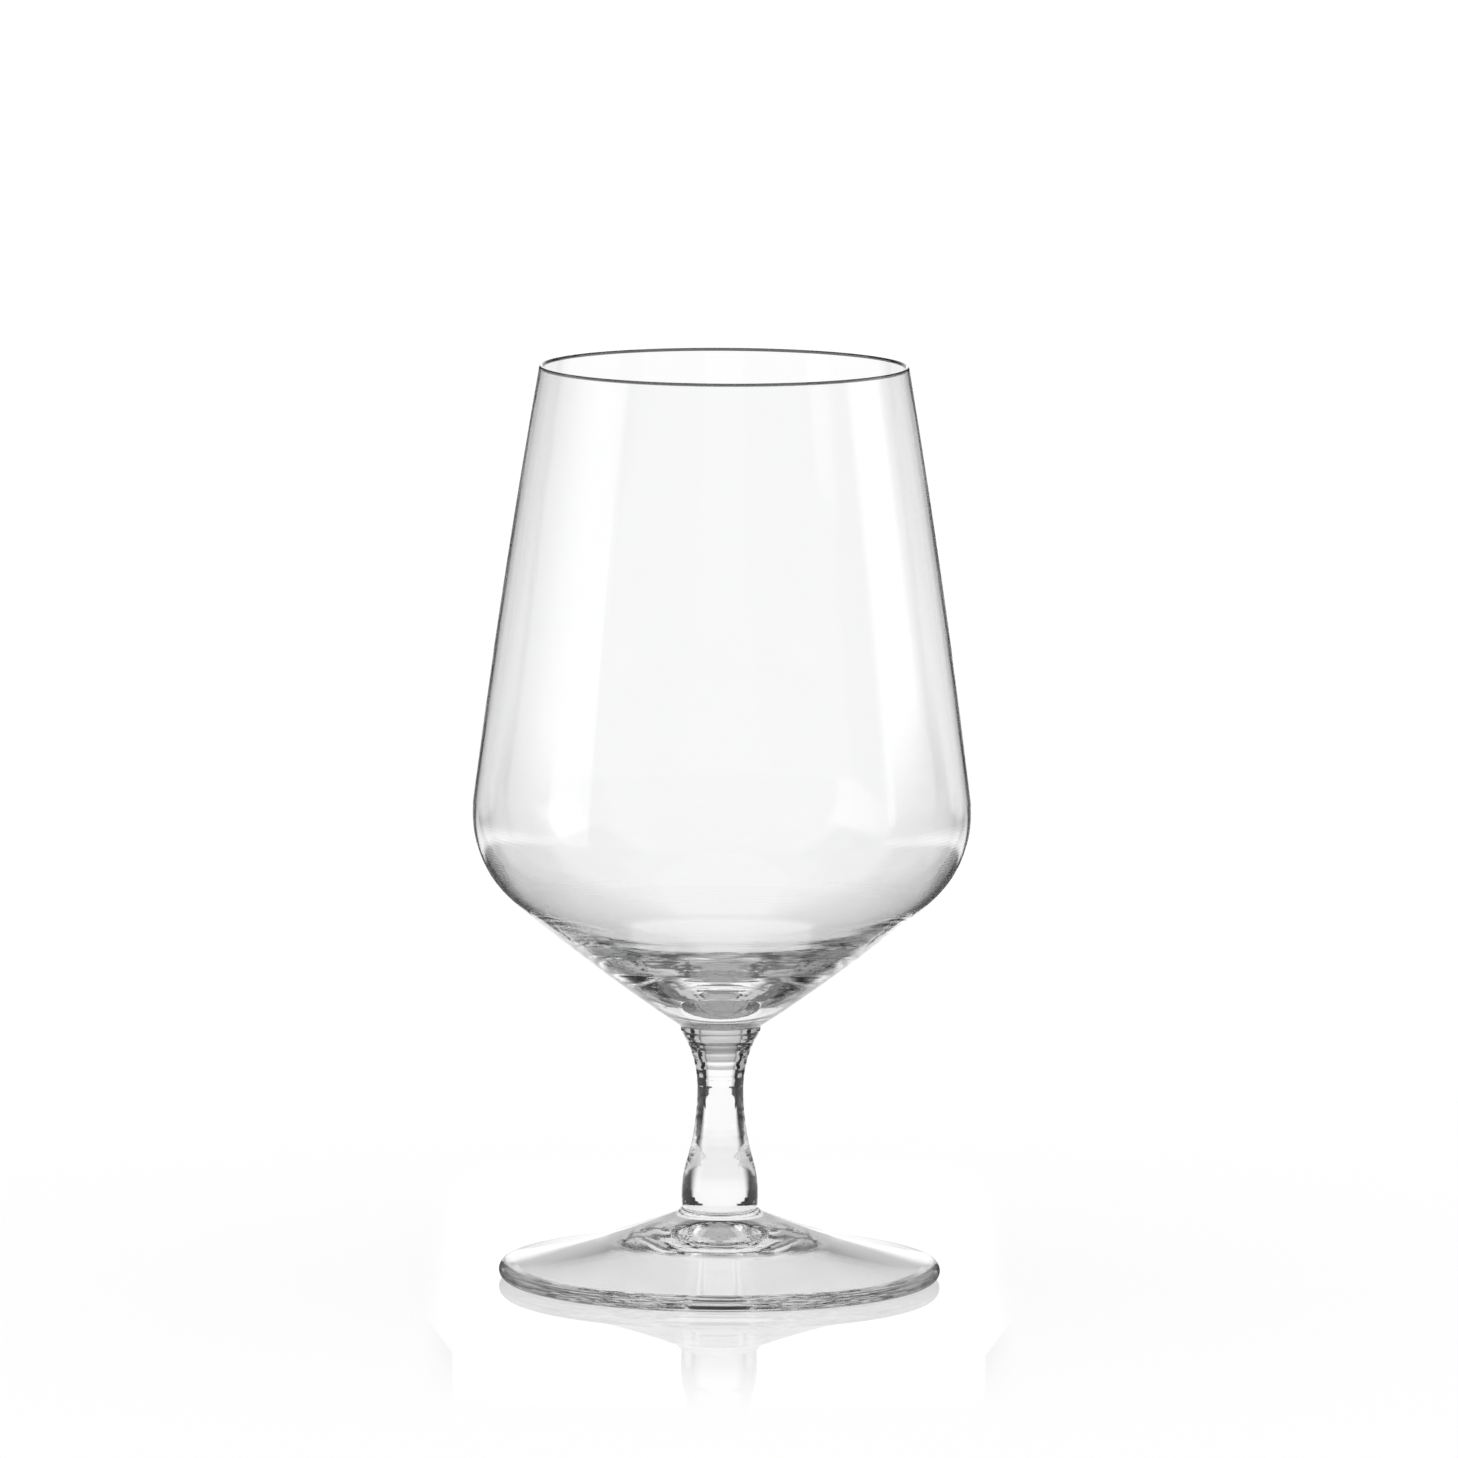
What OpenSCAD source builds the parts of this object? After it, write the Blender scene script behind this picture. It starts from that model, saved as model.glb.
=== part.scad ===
// Tulip beer glass of clear soda-lime glass, in millimetres, +Z up.
// It stands on its foot with the origin at the middle of the resting face.
// Three gathers of hot glass are fused end to end: a blown bowl, a drawn stem and a spun foot.
// Each is a revolved outline of arcs that run smoothly into one another.

/* [Bowl] */
// Height of the bowl, from its joint on the stem to the top of the rim
bowl_h = 111.8; // [95:0.1:140]
// Outside diameter of the rim
rim_d = 62.3; // [50:0.1:74]
// Thickness of the glass at the fire-polished rim
rim_t = 0.8; // [0.6:0.05:2]
// Outside diameter of the belly, the widest part
belly_d = 84.2; // [76:0.1:100]
// Height of the belly above the joint on the stem
belly_h = 36.4; // [32:0.1:46]
// Thickness of the wall at the belly
belly_t = 0.9; // [0.7:0.05:3]
// Outside radius of the shoulder that turns the wall in under the belly
shoulder_r = 20; // [12:0.1:26]
// Radius of the slight outward bow of the wall, from the shoulder to the rim
wall_bow_r = 1700; // [500:10:5000]
// Radius of the slight outward bow of the cone under the shoulder
cone_bow_r = 390; // [120:5:1500]
// Diameter of the bowl where it is fused to the stem
bowl_base_d = 13.9; // [12:0.1:18]
// Thickness of the solid glass under the inside of the bowl
bowl_base_t = 5.4; // [3:0.1:8]
// Radius of the rounded inside bottom
bottom_r = 16; // [12:0.1:22]
// Radius of the outward bow of the inside, between the bottom and the shoulder
inner_bow_r = 95; // [70:1:200]

/* [Stem] */
// Length of the stem between its two joints
stem_h = 31; // [26:0.1:60]
// Diameter of the stem's upper end
stem_top_d = 13.5; // [11:0.1:18]
// Height of the straight collar at the upper end
stem_collar_h = 0.8; // [0.4:0.1:2]
// Diameter of the waist, the thinnest part
waist_d = 7.8; // [6:0.1:10]
// Height of the waist above the stem's lower joint
waist_h = 20.2; // [17:0.1:22]
// Diameter of the swelling near the lower end
swell_d = 13; // [10.5:0.1:16]
// Height of the swelling's widest part above the lower joint
swell_h = 2.3; // [1:0.1:4]

/* [Foot] */
// Diameter of the foot
foot_d = 74.6; // [64:0.1:90]
// Height of the foot, from the table to its joint with the stem
foot_h = 12.2; // [9.5:0.1:18]
// Thickness of the foot's full-round edge
foot_edge_t = 2.9; // [2:0.1:4.5]
// Diameter of the boss that carries the stem
boss_d = 13; // [11:0.1:18]
// Lean of the boss's side at the joint, in degrees from upright
boss_lean = 36; // [20:1:45]
// Radius of the fillet where the boss runs out into the top
boss_fillet_r = 3.6; // [2:0.1:5]
// Radius of the slight hollow of the foot's top face
foot_top_r = 150; // [80:5:600]
// Width of the flat ring that the glass rests on
rest_ring_w = 2; // [1:0.1:4]
// Rise of the hollow underside at the middle
foot_hollow_h = 6; // [4:0.1:7.5]
// Radius of the rounded crown of the hollow underside
crown_r = 70; // [20:1:90]

/* [Hidden] */

$fn = 128;
// Straight steps in each arc of an outline
arc_steps = 16;
// Share of the curve from the waist to the swelling that is hollow
hollow_curve_share = 0.7;
// Clear glass with the faint cool tint of soda-lime
clear_glass = [0.86, 0.9, 0.91, 0.45];

stem_z = foot_h;
bowl_z = foot_h + stem_h;

// Direction of the way from a to b, in degrees from 0 to 360
function heading(a, b) = (atan2(b[1] - a[1], b[0] - a[0]) + 360) % 360;

// Points on an arc about c, from one angle to another
function arc(c, r, from, to) = [
    for (i = [0:arc_steps])
        let (a = from + (to - from) * i / arc_steps)
            c + r * [cos(a), sin(a)]
];

// The crossing of a circle about a with a circle about b, left of the way from a to b
function crossing(a, ra, b, rb) =
    let (
        d = norm(b - a),
        along = (d * d + ra * ra - rb * rb) / (2 * d),
        aside = sqrt(ra * ra - along * along),
        u = (b - a) / d
    )
        a + along * u + aside * [-u[1], u[0]];

// Radius of the arc that starts upright and reaches so far out over so great a height
function flare_radius(out, height) = (height * height + out * out) / (2 * out);

// Centres of the bowl's arcs: each long arc touches the two circles at its ends
rim_r = rim_t / 2;
rim_c = [rim_d / 2 - rim_r, bowl_h - rim_r];
shoulder_c = [belly_d / 2 - shoulder_r, belly_h];
base_edge = [bowl_base_d / 2, 0];
wall_c = crossing(shoulder_c, wall_bow_r - shoulder_r, rim_c, wall_bow_r - rim_r);
cone_c = crossing(base_edge, cone_bow_r, shoulder_c, cone_bow_r - shoulder_r);

inner_shoulder_r = shoulder_r - belly_t;
bottom_c = [0, bowl_base_t + bottom_r];
inner_wall_c = crossing(shoulder_c, wall_bow_r - inner_shoulder_r, rim_c, wall_bow_r + rim_r);
inner_cone_c = crossing(bottom_c, inner_bow_r - bottom_r, shoulder_c, inner_bow_r - inner_shoulder_r);

// Headings past 180 degrees are taken below zero, so that each arc turns the short way
function below(angle) = angle > 180 ? angle - 360 : angle;

function bowl_outside() = concat(
    arc(cone_c, cone_bow_r, below(heading(cone_c, base_edge)), below(heading(cone_c, shoulder_c))),
    arc(shoulder_c, shoulder_r, below(heading(cone_c, shoulder_c)), below(heading(wall_c, shoulder_c))),
    arc(wall_c, wall_bow_r, below(heading(wall_c, shoulder_c)), below(heading(wall_c, rim_c)))
);

function bowl_inside() = concat(
    arc(inner_wall_c, wall_bow_r,
        below(heading(inner_wall_c, rim_c)), below(heading(inner_wall_c, shoulder_c))),
    arc(shoulder_c, inner_shoulder_r,
        below(heading(inner_wall_c, shoulder_c)), below(heading(inner_cone_c, shoulder_c))),
    arc(inner_cone_c, inner_bow_r,
        below(heading(inner_cone_c, shoulder_c)), below(heading(inner_cone_c, bottom_c))),
    arc(bottom_c, bottom_r, below(heading(inner_cone_c, bottom_c)), -90)
);

// Blown bowl: a thick base, a cone, a tight shoulder and a wall that draws in to a thin rim
module bowl() {
    color(clear_glass)
        translate([0, 0, bowl_z])
            rotate_extrude()
                polygon(concat(
                    [[0, 0]],
                    bowl_outside(),
                    arc(rim_c, rim_r, heading(wall_c, rim_c), heading(rim_c, inner_wall_c)),
                    bowl_inside()
                ));
}

// Drawn stem: a flared head under a short collar, a waist, and a swelling that sits on the foot
module stem() {
    top_r = stem_top_d / 2;
    waist_r = waist_d / 2;
    swell_r = swell_d / 2;

    head_h = stem_h - stem_collar_h - waist_h;
    head_r = flare_radius(top_r - waist_r, head_h);
    head_c = [waist_r + head_r, waist_h];

    curves_r = flare_radius(swell_r - waist_r, waist_h - swell_h);
    hollow_r = curves_r * hollow_curve_share;
    round_r = curves_r - hollow_r;
    hollow_c = [waist_r + hollow_r, waist_h];
    round_c = [swell_r - round_r, swell_h];
    turn = heading(round_c, hollow_c);

    color(clear_glass)
        translate([0, 0, stem_z])
            rotate_extrude()
                polygon(concat(
                    [[0, 0]],
                    arc(round_c, round_r, -asin(swell_h / round_r), turn),
                    arc(hollow_c, hollow_r, 180 + turn, 180),
                    arc(head_c, head_r, 180, 180 - asin(head_h / head_r)),
                    [[top_r, stem_h], [0, stem_h]]
                ));
}

// Spun foot: a boss for the stem, a shallow cone, a full-round edge and a hollow underside
module foot() {
    edge_r = foot_edge_t / 2;
    edge_c = [foot_d / 2 - edge_r, edge_r];
    fillet_c = [boss_d / 2, foot_h] + boss_fillet_r * [cos(boss_lean), sin(boss_lean)];
    top_c = crossing(fillet_c, foot_top_r - boss_fillet_r, edge_c, foot_top_r + edge_r);

    // The underside follows the top face's hollow out from a round crown
    hollow_edge = [edge_c[0] - rest_ring_w, 0];
    crown_c = [0, foot_hollow_h - crown_r];
    under_c = crossing(crown_c, foot_top_r + crown_r, hollow_edge, foot_top_r);

    color(clear_glass)
        rotate_extrude()
            polygon(concat(
                [[0, foot_h]],
                arc(fillet_c, boss_fillet_r, 180 + boss_lean, heading(top_c, fillet_c)),
                arc(top_c, foot_top_r, heading(top_c, fillet_c), heading(top_c, edge_c)),
                arc(edge_c, edge_r, heading(edge_c, top_c), -90),
                arc(under_c, foot_top_r, heading(under_c, hollow_edge), heading(under_c, crown_c)),
                arc(crown_c, crown_r, heading(crown_c, under_c), 90)
            ));
}

bowl();
stem();
foot();
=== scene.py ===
import math

import bpy
from mathutils import Matrix, Vector


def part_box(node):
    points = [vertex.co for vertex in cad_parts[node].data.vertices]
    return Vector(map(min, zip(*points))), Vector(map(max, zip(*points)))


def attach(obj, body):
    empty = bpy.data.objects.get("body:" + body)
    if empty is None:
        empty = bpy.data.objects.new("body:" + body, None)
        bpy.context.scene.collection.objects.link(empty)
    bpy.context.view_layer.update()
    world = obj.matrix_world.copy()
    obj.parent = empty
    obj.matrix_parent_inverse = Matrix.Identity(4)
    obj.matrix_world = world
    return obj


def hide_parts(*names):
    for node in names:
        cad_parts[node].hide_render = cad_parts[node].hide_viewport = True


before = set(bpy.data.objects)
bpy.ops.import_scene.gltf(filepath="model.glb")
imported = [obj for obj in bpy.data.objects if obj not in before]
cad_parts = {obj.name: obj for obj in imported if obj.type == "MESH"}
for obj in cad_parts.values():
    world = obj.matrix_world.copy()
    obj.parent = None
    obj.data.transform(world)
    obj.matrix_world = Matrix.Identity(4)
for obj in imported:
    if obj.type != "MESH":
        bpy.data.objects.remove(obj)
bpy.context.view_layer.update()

# BOWL
# The blown tulip bowl, one bubble of clear soda-lime glass: thick where it was gathered, thin at the rim.
# The rim is cut and melted round in the fire; the lower end is fused hot to the stem.

MM = 0.001


def crossing(a, reach_a, b, reach_b):
    """The point that far from a and from b, on the left of the way from a to b."""
    way = b - a
    along = (way.length_squared + reach_a ** 2 - reach_b ** 2) / (2 * way.length)
    aside = math.sqrt(reach_a ** 2 - along ** 2)
    way.normalize()
    return a + along * way + aside * Vector((-way.y, way.x))


def heading(a, b):
    """Direction of the way from a to b, in radians from -pi to pi."""
    return math.atan2(b.y - a.y, b.x - a.x)


def arc(centre, radius, start, stop, steps):
    """Points of an outline on an arc, without its last one."""
    turns = (start + (stop - start) * i / steps for i in range(steps))
    return [centre + radius * Vector((math.cos(t), math.sin(t))) for t in turns]


class Nodes:
    """One node tree, filled by node() calls."""

    def __init__(self, tree):
        self.tree = tree
        tree.nodes.clear()

    def node(self, kind, settings=None, **sockets):
        """A node of one kind: its settings first, then a value or a Wire for each socket."""
        made = self.tree.nodes.new(kind)
        for key, value in (settings or {}).items():
            setattr(made, key, value)
        for key, value in sockets.items():
            name = int(key[1:]) if key[1:].isdigit() else key.replace("_", " ")
            if isinstance(value, Wire):
                self.tree.links.new(value.socket, made.inputs[name])
            else:
                made.inputs[name].default_value = value
        return made

    def wire(self, kind, settings=None, out=0, **sockets):
        """The same, returning one of the new node's outputs."""
        return Wire(self, self.node(kind, settings, **sockets).outputs[out])

    def split(self, vector):
        """The X, Y and Z of a vector."""
        parts = self.node("ShaderNodeSeparateXYZ", Vector=vector).outputs
        return [Wire(self, parts[axis]) for axis in range(3)]


class Wire:
    """An output socket; arithmetic on it adds Math nodes to its tree."""

    def __init__(self, nodes, socket):
        self.nodes = nodes
        self.socket = socket

    def math(self, operation, a, b=0.0):
        return self.nodes.wire("ShaderNodeMath", {"operation": operation}, _0=a, _1=b)

    def __add__(self, other):
        return self.math("ADD", self, other)

    def __radd__(self, other):
        return self.math("ADD", other, self)

    def __sub__(self, other):
        return self.math("SUBTRACT", self, other)

    def __rsub__(self, other):
        return self.math("SUBTRACT", other, self)

    def __mul__(self, other):
        return self.math("MULTIPLY", self, other)

    def __rmul__(self, other):
        return self.math("MULTIPLY", other, self)

    def __truediv__(self, other):
        return self.math("DIVIDE", self, other)

    def __rtruediv__(self, other):
        return self.math("DIVIDE", other, self)

    def __lt__(self, other):
        return self.math("LESS_THAN", self, other)

    def __gt__(self, other):
        return self.math("GREATER_THAN", self, other)


drift_scale = 45.0
drift_reach = 4.0
weld_gap = MM / 1000
crease_angle = math.radians(30)
joint_mark = "joint face"


def lathe_tree():
    """A tree that turns an outline, drawn in X and Z, about the Z axis and closes it."""
    tree = bpy.data.node_groups.new("lathe", "GeometryNodeTree")
    inputs = [("Outline", "Geometry"), ("Turns", "Int"), ("Ripple pitch", "Float"), ("Seed", "Float"),
              ("Lower joint", "Bool"), ("Upper joint", "Bool"), ("Glass", "Material"), ("Joint", "Material")]
    for name, kind in inputs:
        tree.interface.new_socket(name, in_out="INPUT", socket_type="NodeSocket" + kind)
    tree.interface.new_socket("Piece", in_out="OUTPUT", socket_type="NodeSocketGeometry")
    g = Nodes(tree)
    given = g.node("NodeGroupInput").outputs
    outline, turns, pitch, seed, lower, upper, glass, joint = (Wire(g, given[i]) for i in range(len(inputs)))

    # A flat grid, one column for each turn, takes the outline's points
    points = g.wire("GeometryNodeAttributeDomainSize", {"component": "MESH"}, Geometry=outline)
    sheet = g.wire("GeometryNodeMeshGrid", Vertices_X=turns + 1, Vertices_Y=points)
    index = g.wire("GeometryNodeInputIndex")
    ring = index.math("MODULO", index, points)
    spoke = index.math("FLOOR", (index + 0.5) / points)
    place = g.wire("GeometryNodeSampleIndex", {"data_type": "FLOAT_VECTOR", "domain": "POINT"},
                   Geometry=outline, Value=g.wire("GeometryNodeInputPosition"), Index=ring)
    turned = g.wire("ShaderNodeVectorRotate", {"rotation_type": "Z_AXIS"},
                    Vector=place, Angle=spoke / turns * math.tau)
    body = g.wire("GeometryNodeSetPosition", Geometry=sheet, Position=turned)

    # Ripples that wander up and down as they run round
    wrinkle = g.wire("GeometryNodeInputNamedAttribute", {"data_type": "FLOAT"}, Name="wrinkle")
    depth = g.wire("GeometryNodeSampleIndex", {"data_type": "FLOAT", "domain": "POINT"},
                   Geometry=outline, Value=wrinkle, Index=ring)
    level = g.split(turned)[2]
    drift = g.wire("ShaderNodeTexNoise", {"noise_dimensions": "4D"},
                   Vector=turned, W=seed, Scale=drift_scale, Detail=1.0)
    waves = index.math("SINE", level / pitch * math.tau + drift * drift_reach)
    push = g.wire("ShaderNodeVectorMath", {"operation": "SCALE"},
                  _0=g.wire("GeometryNodeInputNormal"), Scale=depth * waves)
    body = g.wire("GeometryNodeSetPosition", Geometry=body, Offset=push)

    # The first and last strips of faces can be joints; seam and poles are welded
    strip = index.math("MODULO", index, points - 1)
    at_end = lower * (strip < 0.5) + upper * (strip > points - 2.5)
    body = g.wire("GeometryNodeStoreNamedAttribute", {"data_type": "BOOLEAN", "domain": "FACE"},
                  Geometry=body, Name=joint_mark, Value=at_end)
    body = g.wire("GeometryNodeMergeByDistance", Geometry=body, Distance=weld_gap)
    crease = g.wire("GeometryNodeInputMeshEdgeAngle") > crease_angle
    body = g.wire("GeometryNodeSetShadeSmooth", {"domain": "EDGE"}, Geometry=body, Shade_Smooth=1 - crease)
    body = g.wire("GeometryNodeRealizeInstances", Geometry=body)
    at_joint = g.wire("GeometryNodeInputNamedAttribute", {"data_type": "BOOLEAN"}, Name=joint_mark)
    body = g.wire("GeometryNodeSetMaterial", Geometry=body, Material=glass)
    body = g.wire("GeometryNodeSetMaterial", Geometry=body, Selection=at_joint, Material=joint)
    g.node("NodeGroupOutput", Piece=body)
    return tree


LATHE = lathe_tree()


def lathe(name, outline, turns, glass, joint, lower_joint, upper_joint, wrinkle, pitch, seed):
    """A piece of revolution as a plain mesh, from its outline in metres and the depth of its wrinkles."""
    line = bpy.data.meshes.new(name)
    line.from_pydata([(p.x, 0, p.y) for p in outline], [(i, i + 1) for i in range(len(outline) - 1)], [])
    depths = line.attributes.new("wrinkle", "FLOAT", "POINT")
    depths.data.foreach_set("value", [wrinkle(p) for p in outline])
    piece = bpy.data.objects.new(name, line)
    bpy.context.scene.collection.objects.link(piece)
    turning = piece.modifiers.new("lathe", "NODES")
    turning.node_group = LATHE
    values = {"Turns": turns, "Ripple pitch": pitch, "Seed": seed, "Lower joint": lower_joint,
              "Upper joint": upper_joint, "Glass": glass, "Joint": joint}
    for item in LATHE.interface.items_tree:
        if item.in_out == "INPUT" and item.name in values:
            turning[item.identifier] = values[item.name]
    bpy.context.view_layer.update()
    mesh = bpy.data.meshes.new_from_object(piece.evaluated_get(bpy.context.evaluated_depsgraph_get()))
    piece.modifiers.remove(turning)
    piece.data = mesh
    mesh.name = name
    mesh.attributes.remove(mesh.attributes[joint_mark])
    return piece


clear_colour = (0.97, 0.97, 0.97, 1)
cord_colour = (0.962, 0.965, 0.965, 1)
# Painted shade: a dark glass colour for the rim and the foot's edge, in place of the shade that light running
# along an edge gives
painted_edge_shade_colour = (0.12, 0.12, 0.125, 1)
cord_scale = 110.0
polish_scale = 900.0
polish_worst = 0.008
glass_ior = 1.52
# The dark sheet at the fused joints: a faint seam, and painted shade where it hides much of what is behind
seam_and_shade_colour = (0.05, 0.05, 0.05, 1)
seam_roughness = 0.3


def glass_material(name, painted_edge_shade=None):
    """Clear glass with faint cords in it and an uneven polish.

    The optional second argument turns a place's X, Y and Z into the share by which its colour is darkened.
    This is painted shade at an edge, standing in for the shade where light runs along that edge.
    """
    material = bpy.data.materials.new(name)
    material.use_nodes = True
    g = Nodes(material.node_tree)
    place = g.wire("ShaderNodeTexCoord", out="Object")
    cords = g.wire("ShaderNodeTexNoise", Vector=place, Scale=cord_scale, Detail=1.0)
    polish = g.wire("ShaderNodeTexNoise", Vector=place, Scale=polish_scale, Detail=0.0)
    colour = g.wire("ShaderNodeMix", {"data_type": "RGBA"}, out=2,
                    Factor=cords, _6=clear_colour, _7=cord_colour)
    if painted_edge_shade:
        colour = g.wire("ShaderNodeMix", {"data_type": "RGBA"}, out=2,
                        Factor=painted_edge_shade(*g.split(place)), _6=colour, _7=painted_edge_shade_colour)
    shader = g.wire("ShaderNodeBsdfPrincipled", Base_Color=colour, Roughness=polish_worst * polish,
                    IOR=glass_ior, Transmission_Weight=1.0)
    g.node("ShaderNodeOutputMaterial", Surface=shader)
    return material


def joint_material(name, seam_and_shade):
    """A fused joint, where glass runs on into glass: a dark sheet that hides that share of what is behind, a
    faint seam where the share is small and painted shade where it is large.
    """
    material = bpy.data.materials.new(name)
    material.use_nodes = True
    g = Nodes(material.node_tree)
    shader = g.wire("ShaderNodeBsdfPrincipled", Base_Color=seam_and_shade_colour, Roughness=seam_roughness, Alpha=seam_and_shade)
    g.node("ShaderNodeOutputMaterial", Surface=shader)
    return material


def fade(value, low, high):
    """From 1 at low to 0 at high."""
    return min(max((high - value) / (high - low), 0.0), 1.0)


bowl_lo, bowl_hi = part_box("bowl")
bowl_h = bowl_hi.z - bowl_lo.z
rim_r = 31.15 * MM
rim_t = 0.8 * MM
belly_r = 42.1 * MM
belly_h = 36.4 * MM
belly_t = 0.9 * MM
shoulder_r = 20 * MM
wall_bow_r = 1700 * MM
cone_bow_r = 390 * MM
bowl_base_r = 6.95 * MM
bowl_base_t = 5.4 * MM
bottom_r = 16 * MM
inner_bow_r = 95 * MM
stem_top_r = 6.75 * MM

cone_steps = 44
shoulder_steps = 40
wall_steps = 16
lip_steps = 12
inner_cone_steps = 64
bottom_steps = 20
bowl_turns = 360

lip_r = rim_t / 2
lip_c = Vector((rim_r - lip_r, bowl_h - lip_r))
shoulder_c = Vector((belly_r - shoulder_r, belly_h))
base_edge = Vector((bowl_base_r, 0))
bottom_c = Vector((0, bowl_base_t + bottom_r))
inner_shoulder_r = shoulder_r - belly_t
wall_c = crossing(shoulder_c, wall_bow_r - shoulder_r, lip_c, wall_bow_r - lip_r)
cone_c = crossing(base_edge, cone_bow_r, shoulder_c, cone_bow_r - shoulder_r)
inner_wall_c = crossing(shoulder_c, wall_bow_r - inner_shoulder_r, lip_c, wall_bow_r + lip_r)
inner_cone_c = crossing(bottom_c, inner_bow_r - bottom_r, shoulder_c, inner_bow_r - inner_shoulder_r)

# Where one arc ends and the next begins, seen from the centres
cone_end = heading(cone_c, shoulder_c)
shoulder_end = heading(wall_c, shoulder_c)
wall_end = heading(wall_c, lip_c)
inner_wall_start = heading(inner_wall_c, lip_c)
inner_wall_end = heading(inner_wall_c, shoulder_c)
inner_cone_start = heading(inner_cone_c, shoulder_c)
inner_cone_end = heading(inner_cone_c, bottom_c)
bowl_outline = (
    [Vector((0, 0)), Vector((stem_top_r, 0))]
    + arc(cone_c, cone_bow_r, heading(cone_c, base_edge), cone_end, cone_steps)
    + arc(shoulder_c, shoulder_r, cone_end, shoulder_end, shoulder_steps)
    + arc(wall_c, wall_bow_r, shoulder_end, wall_end, wall_steps)
    + arc(lip_c, lip_r, wall_end, inner_wall_start + math.pi, lip_steps)
    + arc(inner_wall_c, wall_bow_r, inner_wall_start, inner_wall_end, wall_steps)
    + arc(shoulder_c, inner_shoulder_r, inner_wall_end, inner_cone_start, shoulder_steps)
    + arc(inner_cone_c, inner_bow_r, inner_cone_start, inner_cone_end, inner_cone_steps)
    + arc(bottom_c, bottom_r, inner_cone_end, -math.pi / 2, bottom_steps)
    + [Vector((0, bowl_base_t))]
)

bowl_ripple_depth = 0.012 * MM
bowl_ripple_pitch = 2.1 * MM
bowl_ripple_start = (0.5 * MM, 2.5 * MM)
bowl_ripple_end = (15 * MM, 22 * MM)
bowl_seed = 3.0
# Painted shade: the top of the rim, this high, takes the dark glass colour
rim_painted_shade_h = 0.5 * MM
# Painted shade: the bowl's joint with the stem hides this share of what is behind it, which darkens the
# bowl's thick base
bowl_seam_and_shade = 0.65


def bowl_wrinkle(p):
    """The thick base keeps marks of the mould; the blown wall above it is smooth."""
    above = p.y - bowl_lo.z
    return bowl_ripple_depth * fade(above, *bowl_ripple_end) * (1 - fade(above, *bowl_ripple_start))


bowl_joint = joint_material("bowl joint", bowl_seam_and_shade)
# The bowl's glass carries painted shade at the top of its rim
bowl_glass = glass_material("bowl glass", lambda x, y, z: z > bowl_hi.z - rim_painted_shade_h)
bowl = lathe("glass_bowl", [p + Vector((0, bowl_lo.z)) for p in bowl_outline], bowl_turns,
             bowl_glass, bowl_joint, True, False, bowl_wrinkle, bowl_ripple_pitch, bowl_seed)
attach(bowl, "root")
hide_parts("bowl")

# STEM
# The drawn stem of the same clear glass, pulled from a hot gather under the bowl: a flared head, a waist
# and a swelling. Its ends are fused to the bowl and to the foot, and its head keeps creases of the tools.

stem_lo, stem_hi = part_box("stem")
stem_h = stem_hi.z - stem_lo.z
stem_collar_h = 0.8 * MM
waist_r = 3.9 * MM
waist_h = 20.2 * MM
swell_r = 6.5 * MM
swell_h = 2.3 * MM
hollow_curve_share = 0.7

swell_steps = 24
shank_steps = 40
head_steps = 40
stem_turns = 256


def flare_radius(out, height):
    """Radius of the arc that starts upright and reaches so far out over so great a height."""
    return (height ** 2 + out ** 2) / (2 * out)


head_h = stem_h - stem_collar_h - waist_h
head_r = flare_radius(stem_top_r - waist_r, head_h)
head_c = Vector((waist_r + head_r, waist_h))
curves_r = flare_radius(swell_r - waist_r, waist_h - swell_h)
hollow_r = curves_r * hollow_curve_share
round_r = curves_r - hollow_r
hollow_c = Vector((waist_r + hollow_r, waist_h))
round_c = Vector((swell_r - round_r, swell_h))
turn = heading(round_c, hollow_c)
stem_outline = (
    [Vector((0, 0))]
    + arc(round_c, round_r, -math.asin(swell_h / round_r), turn, swell_steps)
    + arc(hollow_c, hollow_r, math.pi + turn, math.pi, shank_steps)
    + arc(head_c, head_r, math.pi, math.pi - math.asin(head_h / head_r), head_steps)
    + [Vector((stem_top_r, stem_h - stem_collar_h)), Vector((stem_top_r, stem_h)), Vector((0, stem_h))]
)

head_crease_depth = 0.03 * MM
head_crease_start = (0.0, 1.0 * MM)
head_crease_end = (5 * MM, 12 * MM)
shank_ripple_depth = 0.003 * MM
stem_ripple_pitch = 1.6 * MM
stem_seed = 8.0
stem_seam = 0.04


def stem_wrinkle(p):
    """The head was pinched and drawn while soft, so that its skin is creased; the shank is nearly smooth."""
    below = stem_hi.z - p.y
    creases = head_crease_depth * fade(below, *head_crease_end) * (1 - fade(below, *head_crease_start))
    return creases + shank_ripple_depth * (p.y > stem_lo.z)


stem_joint = joint_material("stem joint", stem_seam)
stem_glass = glass_material("stem glass")
stem = lathe("glass_stem", [p + Vector((0, stem_lo.z)) for p in stem_outline], stem_turns,
             stem_glass, stem_joint, True, True, stem_wrinkle, stem_ripple_pitch, stem_seed)
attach(stem, "root")
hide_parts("stem")

# FOOT
# The spun foot of the same clear glass, a gather flattened on the stem's end while it turned: a boss, a
# shallow cone, a fire-polished round edge and a hollow underside, so that it rests on a narrow flat ring.

foot_lo, foot_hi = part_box("foot")
foot_h = foot_hi.z - foot_lo.z
foot_r = 37.3 * MM
edge_r = 1.45 * MM
boss_r = 6.5 * MM
boss_lean = math.radians(36)
boss_fillet_r = 3.6 * MM
foot_top_r = 150 * MM
rest_ring_w = 2 * MM
foot_hollow_h = 6 * MM
crown_r = 70 * MM

fillet_steps = 24
foot_top_steps = 60
edge_steps = 32
crown_steps = 20
foot_turns = 384

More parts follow.
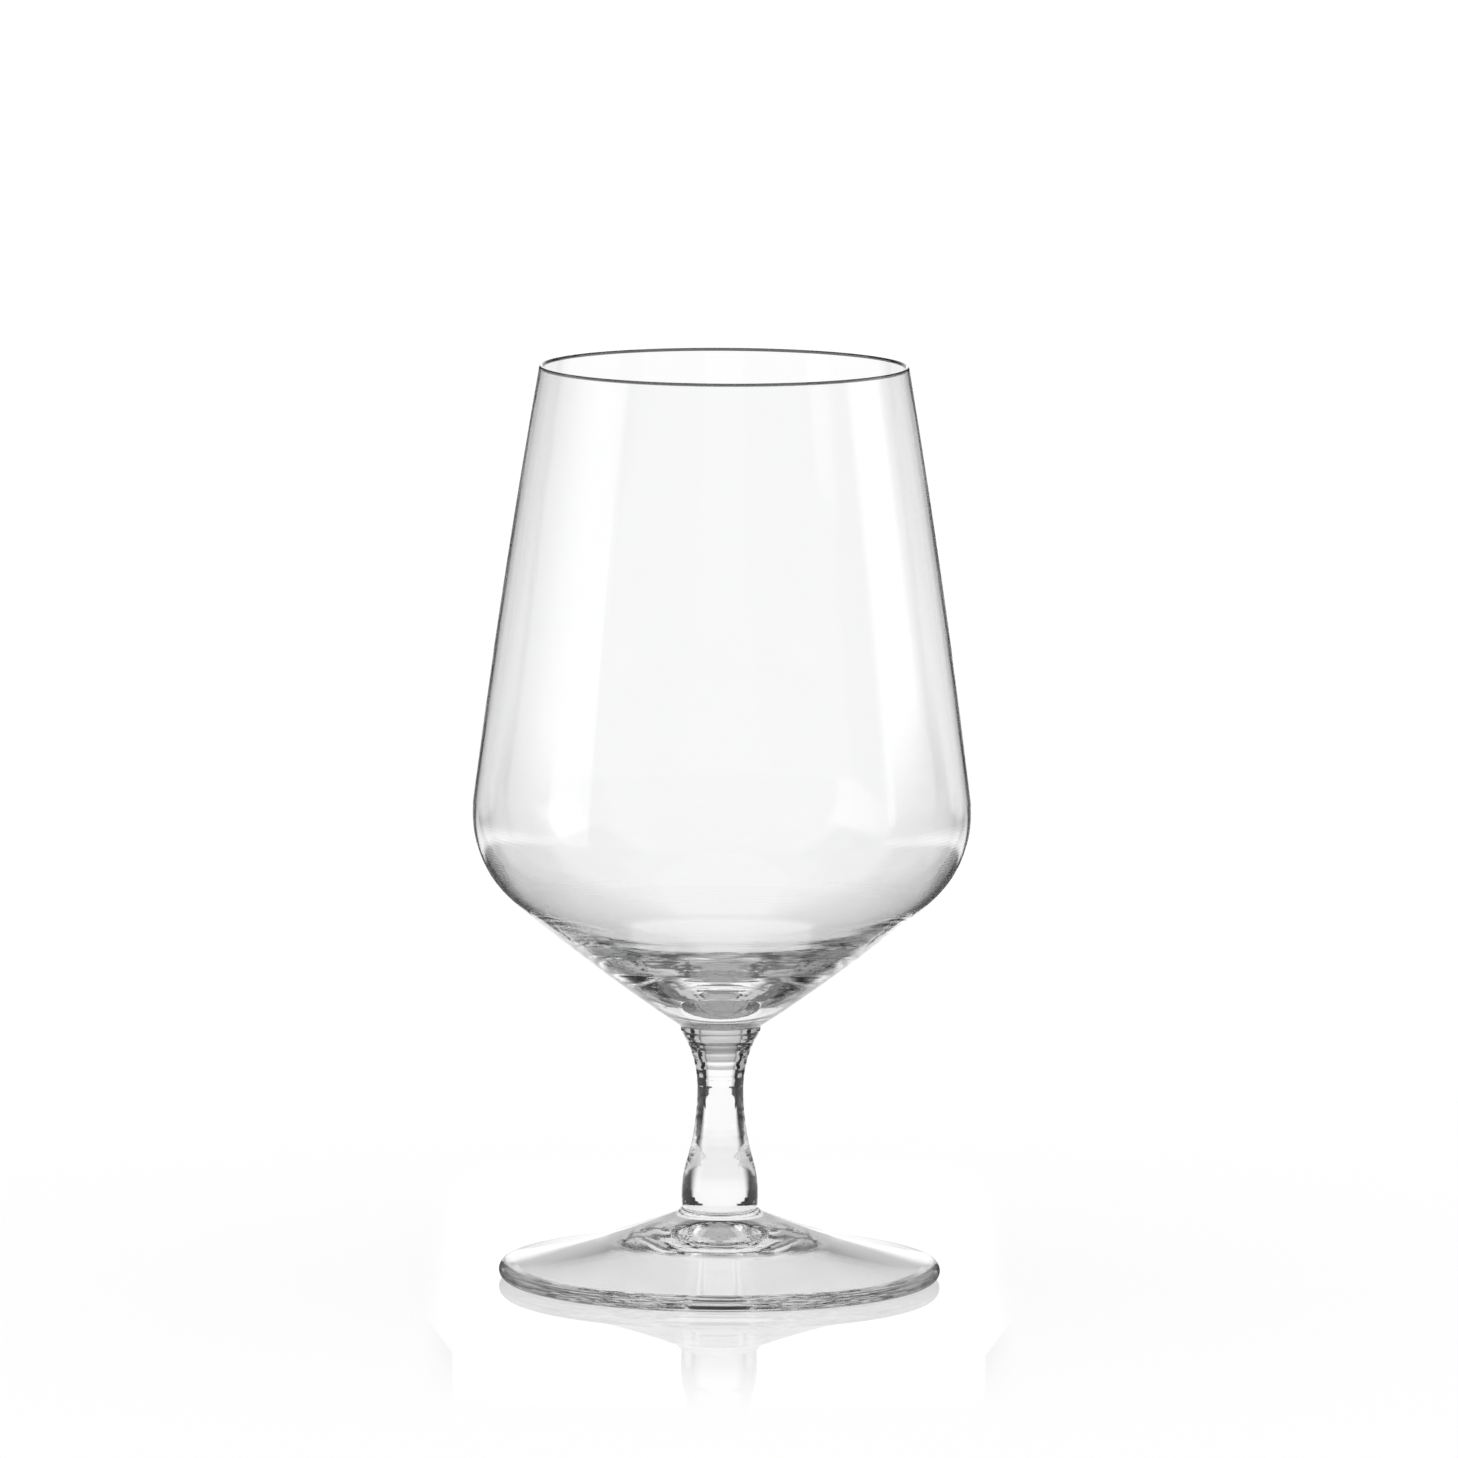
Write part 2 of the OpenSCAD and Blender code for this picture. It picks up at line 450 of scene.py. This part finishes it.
edge_c = Vector((foot_r - edge_r, edge_r))
fillet_c = Vector((boss_r, foot_h)) + boss_fillet_r * Vector((math.cos(boss_lean), math.sin(boss_lean)))
top_c = crossing(fillet_c, foot_top_r - boss_fillet_r, edge_c, foot_top_r + edge_r)
hollow_edge = Vector((edge_c.x - rest_ring_w, 0))
crown_c = Vector((0, foot_hollow_h - crown_r))
under_c = crossing(crown_c, foot_top_r + crown_r, hollow_edge, foot_top_r)
foot_outline = (
    [Vector((0, foot_h)), Vector((stem_outline[1].x, foot_h))]
    + arc(fillet_c, boss_fillet_r, boss_lean - math.pi, heading(top_c, fillet_c), fillet_steps)
    + arc(top_c, foot_top_r, heading(top_c, fillet_c), heading(top_c, edge_c), foot_top_steps)
    + arc(edge_c, edge_r, heading(top_c, edge_c) + math.pi, -math.pi / 2, edge_steps)
    + [Vector((edge_c.x, 0))]
    + arc(under_c, foot_top_r, heading(under_c, hollow_edge), heading(under_c, crown_c), foot_top_steps)
    + arc(crown_c, crown_r, heading(crown_c, under_c), math.pi / 2, crown_steps)
    + [Vector((0, foot_hollow_h))]
)
foot_outline.reverse()

foot_ripple_depth = 0.015 * MM
foot_ripple_pitch = 1.5 * MM
foot_seed = 5.0
rings_start = (7 * MM, 8 * MM)
rings_end = (12 * MM, 22 * MM)
smooth_crown_r = 12 * MM
smooth_crown_h = foot_hollow_h * 0.9
# Painted shade: the foot's outer edge, this wide, is darkened towards the dark glass colour by this share
edge_painted_shade_w = 0.8 * MM
edge_painted_shade_share = 0.4


def foot_wrinkle(p):
    """Faint rings from the spinning run round the boss, but not under it."""
    under_boss = p.x <= smooth_crown_r and p.y <= smooth_crown_h
    rings = fade(p.x, *rings_end) * (1 - fade(p.x, *rings_start))
    return 0.0 if under_boss else foot_ripple_depth * rings


foot_glass = glass_material(
    "foot glass", lambda x, y, z: (x * x + y * y > (foot_r - edge_painted_shade_w) ** 2) * edge_painted_shade_share)
foot = lathe("glass_foot", foot_outline, foot_turns, foot_glass, stem_joint,
             False, True, foot_wrinkle, foot_ripple_pitch, foot_seed)
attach(foot, "root")
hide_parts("foot")

# TABLE
# A white, slightly glossy table top that fades out towards its edge and mirrors the glass's foot.
# The glass itself sees a white strip on it that widens towards the back, between darker sides.

table_r = 0.35
table_z = -0.02 * MM
table_sides = 96
white = (1, 1, 1, 1)
table_colour = (0.96, 0.96, 0.96, 1)
table_glow = 0.75
table_ior = 1.45
table_polish = 0.02

# Radii in metres between which the mirror image, the shadow and the table itself fade out
mirror_share = 0.8
mirror_reach = (0.036, 0.14)
mirror_side = (0.037, 0.05)
shadow_share = 0.75
shadow_start = (0.033, 0.036)
shadow_end = (0.04, 0.043)
under_foot = (0.036, 0.04)
camera_end = (0.2, 0.34)
glass_end = (0.3, 0.34)

# The strip that the glass sees, and how bright the table is beside it, in front and far away
strip_slope = 0.53
strip_half_w = 0.07
strip_edge = (-0.006, 0.006)
strip_near = (0.045, 0.08)
strip_near_level = 0.9
beside_edge = (-0.004, 0.004)
beside_level = 0.03
front_edge = (-0.06, -0.02)
front_level = 0.75
far_start = (0.11, 0.15)
far_end = (0.28, 0.32)
far_level = 0.92
crossed_level = 0.4

# A ray that has gone through both walls of the bowl has been transmitted four times
both_walls = 3.5


def ease(value, low, high, at_low=1.0, at_high=0.0):
    """A smooth step from one number to another between two values."""
    return value.nodes.wire("ShaderNodeMapRange", {"interpolation_type": "SMOOTHSTEP"}, Value=value,
                            From_Min=low, From_Max=high, To_Min=at_low, To_Max=at_high)


def larger(a, b):
    return a.math("MAXIMUM", a, b)


def smaller(a, b):
    return a.math("MINIMUM", a, b)


def studio_piece(name, corners, faces):
    """A piece of the studio with a material of its own, and that material's nodes."""
    mesh = bpy.data.meshes.new(name)
    mesh.from_pydata(corners, [], faces)
    piece = bpy.data.objects.new(name, mesh)
    bpy.context.scene.collection.objects.link(piece)
    material = bpy.data.materials.new(name)
    material.use_nodes = True
    mesh.materials.append(material)
    return piece, Nodes(material.node_tree)


table_turns = [math.tau * i / table_sides for i in range(table_sides)]
table, g = studio_piece(
    "floor", [(table_r * math.cos(t), table_r * math.sin(t), table_z) for t in table_turns],
    [list(range(table_sides))])
path = g.node("ShaderNodeLightPath").outputs
on_camera = Wire(g, path["Is Camera Ray"])
crossed = Wire(g, path["Transmission Depth"]) > both_walls
x, y = g.split(g.wire("ShaderNodeTexCoord", out="Object"))[:2]
radius = x.math("SQRT", x * x + y * y)
aside = x.math("ABSOLUTE", x)

matt = g.wire("ShaderNodeBsdfDiffuse", Color=table_colour)
glow = g.wire("ShaderNodeEmission", Color=white, Strength=1.0)
matt = g.wire("ShaderNodeMixShader", Fac=table_glow, _1=matt, _2=glow)
gloss = g.wire("ShaderNodeBsdfGlossy", Color=white, Roughness=table_polish)
mirror = g.wire("ShaderNodeFresnel", IOR=table_ior) * ease(radius, *mirror_reach, mirror_share)
mirror = mirror * ease(aside, *mirror_side)
for_camera = g.wire("ShaderNodeMixShader", Fac=mirror, _1=matt, _2=gloss)

past_strip = aside - smaller(strip_slope * radius, strip_half_w)
strip = ease(past_strip, *strip_edge, 1.0, beside_level) * ease(radius, *strip_near, strip_near_level, 1.0)
strip = larger(strip, ease(y, *front_edge, front_level))
far = larger(crossed * ease(radius, *far_start, 0.0, far_level), ease(radius, *far_end, 0.0, far_level))
strip = larger(strip, larger(far, crossed * crossed_level))
outside = ease(radius, *under_foot, 0.0, 1.0)
beside = larger(ease(past_strip, *beside_edge, 0.0, 1.0), y < 0.0)
shadow = ease(radius, *shadow_start, 0.0, shadow_share) * ease(radius, *shadow_end) * beside
for_glass = g.wire("ShaderNodeEmission", Color=white,
                   Strength=((1 - outside) + strip * outside) * (1 - shadow))

shown = g.wire("ShaderNodeMixShader", Fac=on_camera, _1=for_glass, _2=for_camera)
there = on_camera * ease(radius, *camera_end) + (1 - on_camera) * ease(radius, *glass_end)
gone = g.wire("ShaderNodeBsdfTransparent")
g.node("ShaderNodeOutputMaterial", Surface=g.wire("ShaderNodeMixShader", Fac=there, _1=gone, _2=shown))

# CARDS
# Two curved grey cards stand round the sides of the table, with soft boxes in them that the wall mirrors
# as long pale bands. They are off camera; only a ray through both walls finds them going down to the table.

card_r = 0.3
card_h = 0.55
card_from = math.radians(24)
card_to = math.radians(124)
card_steps = 40

# Levels of the cards, and what each smooth step between two angles from the back adds to them
card_level = 0.55
left_steps = [(34, 44, -0.1), (68, 106, 1.05), (119, 120.5, -0.75)]
right_steps = [(36, 48, 0.1), (70, 76, 0.85), (99, 103, -0.9), (119, 121, 0.15)]
lower_level = 0.85

# Heights of the cards' lower and upper edges, which also step with the angle
low_step = (45, 62, 0.035, 0.085)
low_drop = (96, 108, 0.0, 0.1)
high_step = (60, 72, 0.17, 0.25)
low_soft = (0.0, 0.03)
high_soft = (-0.02, 0.03)
degrees = 180 / math.pi


def off_camera(piece):
    """Only the glass sees it."""
    piece.visible_camera = False
    piece.visible_diffuse = False
    piece.visible_shadow = False


def rows(count, skipped):
    """Faces between neighbours in a row of upright or level pairs of corners, but for one gap."""
    return [(2 * i, 2 * i + 1, 2 * i + 3, 2 * i + 2) for i in range(count - 1) if i != skipped]


def stepped(value, level, steps):
    """A level that rises or falls by smooth steps."""
    for low, high, rise in steps:
        level = level + ease(value, low, high, 0.0, rise)
    return level


card_turns = [side * (card_from + (card_to - card_from) * i / card_steps)
              for side in (-1, 1) for i in range(card_steps + 1)]
cards, g = studio_piece(
    "cards", [(card_r * math.sin(t), card_r * math.cos(t), up) for t in card_turns for up in (0.0, card_h)],
    rows(len(card_turns), card_steps))
off_camera(cards)
crossed = g.wire("ShaderNodeLightPath", out="Transmission Depth") > both_walls
x, y, z = g.split(g.wire("ShaderNodeTexCoord", out="Object"))
azimuth = x.math("ABSOLUTE", x.math("ARCTAN2", x, y)) * degrees
on_right = x > 0
low = ease(azimuth, *low_step) - ease(azimuth, *low_drop)
high = ease(azimuth, *high_step)
lit = ease(z - low, *low_soft, 0.0, 1.0)
left = stepped(azimuth, card_level, left_steps)
right = stepped(azimuth, card_level, right_steps)
level = left * (1 - on_right) + right * on_right
card = g.wire("ShaderNodeEmission", Color=white, Strength=level * lit + lower_level * (1 - lit))
gone = g.wire("ShaderNodeBsdfTransparent")
there = larger(lit, crossed) * ease(z - high, *high_soft)
g.node("ShaderNodeOutputMaterial", Surface=g.wire("ShaderNodeMixShader", Fac=there, _1=gone, _2=card))

# FLAGS
# Two narrow dark flags stand behind the glass, just outside its outline as the camera sees it.
# Their dark image, bent by the wall's edge and the stem, draws the glass's outline on white.

flag_y = 0.1
flag_w = 0.022
flag_off = 0.016
flag_level = 0.02
flag_crossed_level = 0.3

# Heights, and how far the flag's inner edge is from the middle there
flag_rows = [
    (0.0, 0.053),
    (0.022, 0.053),
    (0.03, 0.047),
    (0.05, 0.047),
    (0.058, 0.056),
    (0.064, 0.0613),
    (0.068, 0.062),
    (0.143, rim_r + flag_off),
    (0.25, rim_r + flag_off),
]
flag_corners = [(side * at, flag_y, up)
                for side in (-1, 1) for up, near in flag_rows for at in (near, near + flag_w)]
flags, g = studio_piece("flags", flag_corners, rows(2 * len(flag_rows), len(flag_rows) - 1))
off_camera(flags)
crossed = g.wire("ShaderNodeLightPath", out="Transmission Depth") > both_walls
flag = g.wire("ShaderNodeEmission", Color=white, Strength=flag_level + crossed * flag_crossed_level)
g.node("ShaderNodeOutputMaterial", Surface=flag)

# STUDIO
# A white room lights the scene evenly and is what the camera sees. The glass sees in it a white sweep behind,
# a paler strip over that, the table's far end, a light wall in front and a soft light overhead.

room_level = 1.05
dark_level = 0.03

# Azimuths from the back (sides) and elevations, in degrees: the two ends of a smooth step and the levels
# there. A band's third number is how soft its ends are.
sweep_fade = (18, 26, 1.0, 0.5)
sweep_side = (26, 30)
sweep_band = (-10, 5, 3.0)
above_side = (20, 26)
above_band = (5, 31, 3.0)
above_fade = (10, 22, 0.55, 0.25)
horizon = (-13, -7)
far_table_side = (96, 120, 1.0, 0.85)
front_side = (112, 120, 0.0, 0.75)
front_top = (54, 68)
overhead = (58, 66, 0.0, 0.45)
mirrored_side = (4, 6)
mirrored_band = (3, 11, 2.0)


def band(value, low, high, soft):
    """1 between two angles, 0 outside."""
    return ease(value, low - soft, low + soft, 0.0, 1.0) * ease(value, high - soft, high + soft)


scene = bpy.context.scene
scene.world = bpy.data.worlds.new("studio")
scene.world.use_nodes = True
g = Nodes(scene.world.node_tree)
path = g.node("ShaderNodeLightPath").outputs
x, y, z = g.split(g.wire("ShaderNodeTexCoord", out="Generated"))
azimuth = x.math("ABSOLUTE", x.math("ARCTAN2", x, y)) * degrees
height = x.math("ARCSINE", z) * degrees

sweep = ease(azimuth, *sweep_fade) * ease(azimuth, *sweep_side) * band(height, *sweep_band)
above = ease(azimuth, *above_side) * band(height, *above_band) * ease(height, *above_fade)
far_table = ease(height, *horizon) * ease(azimuth, *far_table_side)
front = ease(azimuth, *front_side) * ease(height, *horizon, 0.0, 1.0) * ease(height, *front_top)
top = ease(height, *overhead)
not_through_glass = Wire(g, path["Transmission Depth"]) < 0.5
mirrored = not_through_glass * ease(azimuth, *mirrored_side) * band(height, *mirrored_band)
rig_level = dark_level + mirrored + sweep + above + far_table + front + top
by_glass = Wire(g, path["Is Glossy Ray"]) + Wire(g, path["Is Transmission Ray"])
room = g.wire("ShaderNodeBackground", Color=white, Strength=room_level)
rig = g.wire("ShaderNodeBackground", Color=white, Strength=rig_level)
g.node("ShaderNodeOutputWorld", Surface=g.wire("ShaderNodeMixShader", Fac=by_glass, _1=room, _2=rig))

photo_px = 1458
focal_px = 14196
aim_px = -6.74
sensor_w = 36
look_down = math.radians(7.089)
roll = math.radians(0.311)
camera_place = (0, -2.372, 0.3885)
light_bounces = 128

camera_data = bpy.data.cameras.new("camera")
camera_data.lens = focal_px / photo_px * sensor_w
camera_data.sensor_width = sensor_w
camera_data.clip_end = 10
camera = bpy.data.objects.new("camera", camera_data)
scene.collection.objects.link(camera)
scene.camera = camera
camera.matrix_world = (Matrix.Translation(camera_place) @ Matrix.Rotation(aim_px / focal_px, 4, "Z")
                       @ Matrix.Rotation(math.pi / 2 - look_down, 4, "X") @ Matrix.Rotation(roll, 4, "Z"))

scene.view_settings.view_transform = "Standard"
scene.cycles.max_bounces = light_bounces
scene.cycles.transmission_bounces = light_bounces
scene.cycles.glossy_bounces = light_bounces
scene.cycles.transparent_max_bounces = light_bounces
